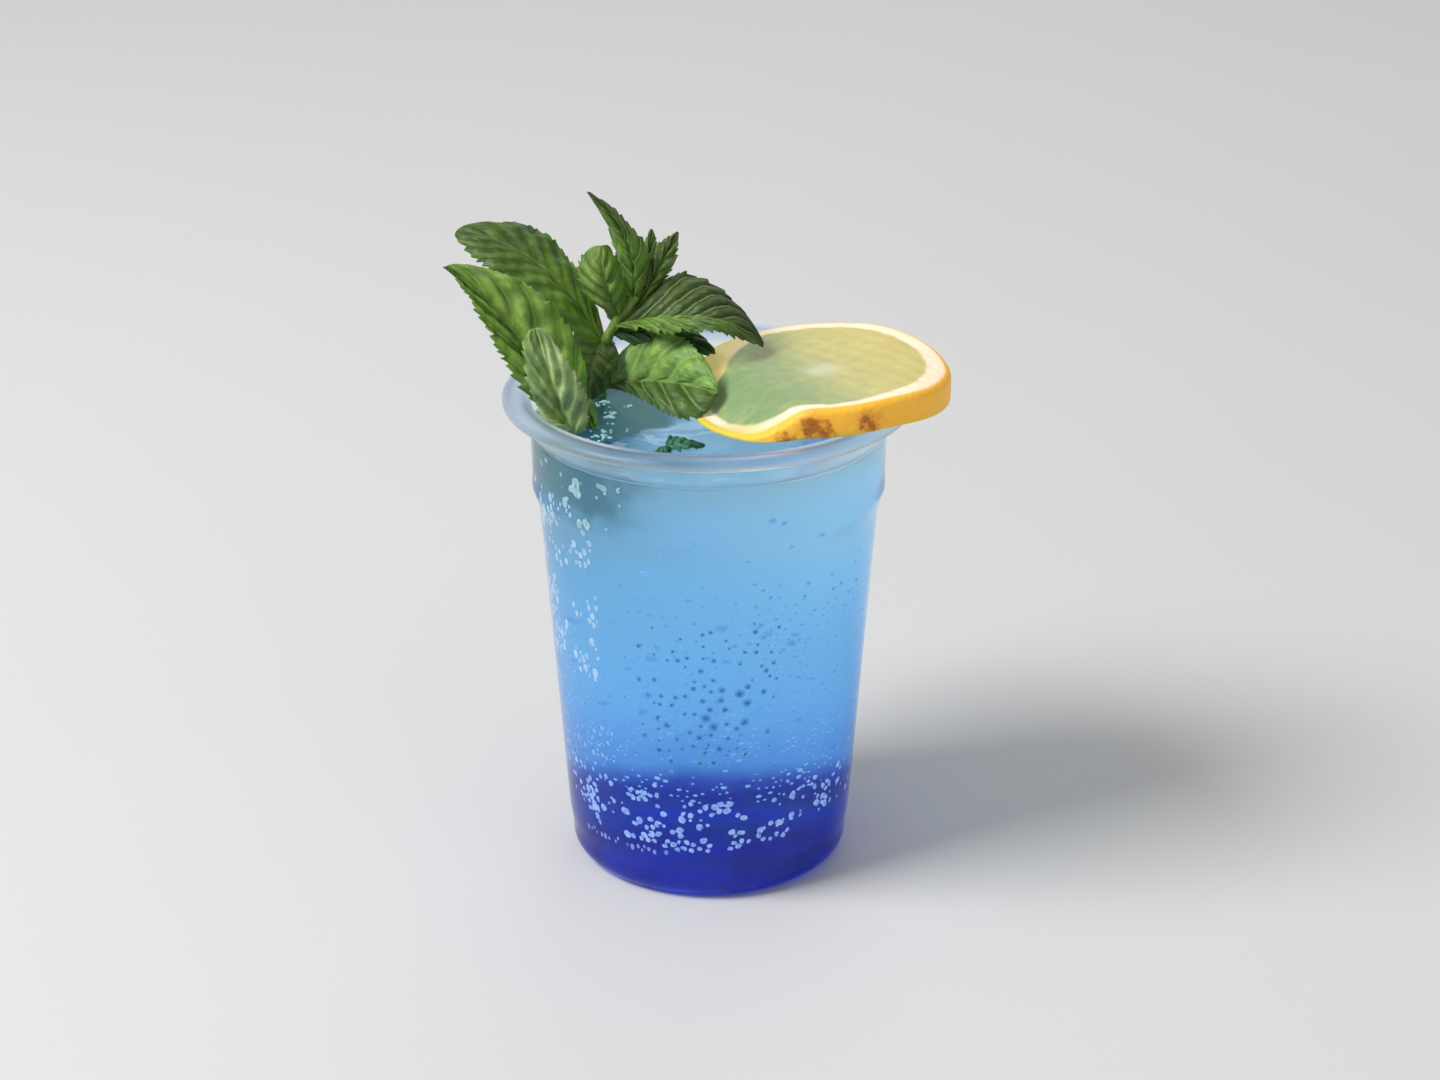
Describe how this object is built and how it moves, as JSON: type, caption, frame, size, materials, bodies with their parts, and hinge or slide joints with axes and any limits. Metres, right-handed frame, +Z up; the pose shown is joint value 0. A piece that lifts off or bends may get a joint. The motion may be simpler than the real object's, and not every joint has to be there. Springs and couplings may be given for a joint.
{
  "type": "cup of blue orange mojito",
  "caption": "Clear plastic cup of layered blue drink with mint sprigs and a citrus slice on its rim.",
  "frame": {"origin": "middle of the flat base that the cup stands on", "axes": "+Z up along the cup's axis; -Y towards the viewer of the picture; +X towards the citrus slice"},
  "size_m": [0.1193, 0.098, 0.1662],
  "materials": {
    "clear_plastic": "clear, glossy",
    "pale_blue_drink": "clear liquid",
    "dark_blue_syrup": "clear liquid",
    "citrus": "moist fruit",
    "mint_leaf": "soft leaf"
  },
  "bodies": {
    "root": {"cup": "clear_plastic", "drink": "pale_blue_drink", "syrup": "dark_blue_syrup", "citrus_slice": "citrus", "mint_tall": "mint_leaf", "mint_low": "mint_leaf"}
  },
  "joints": []
}
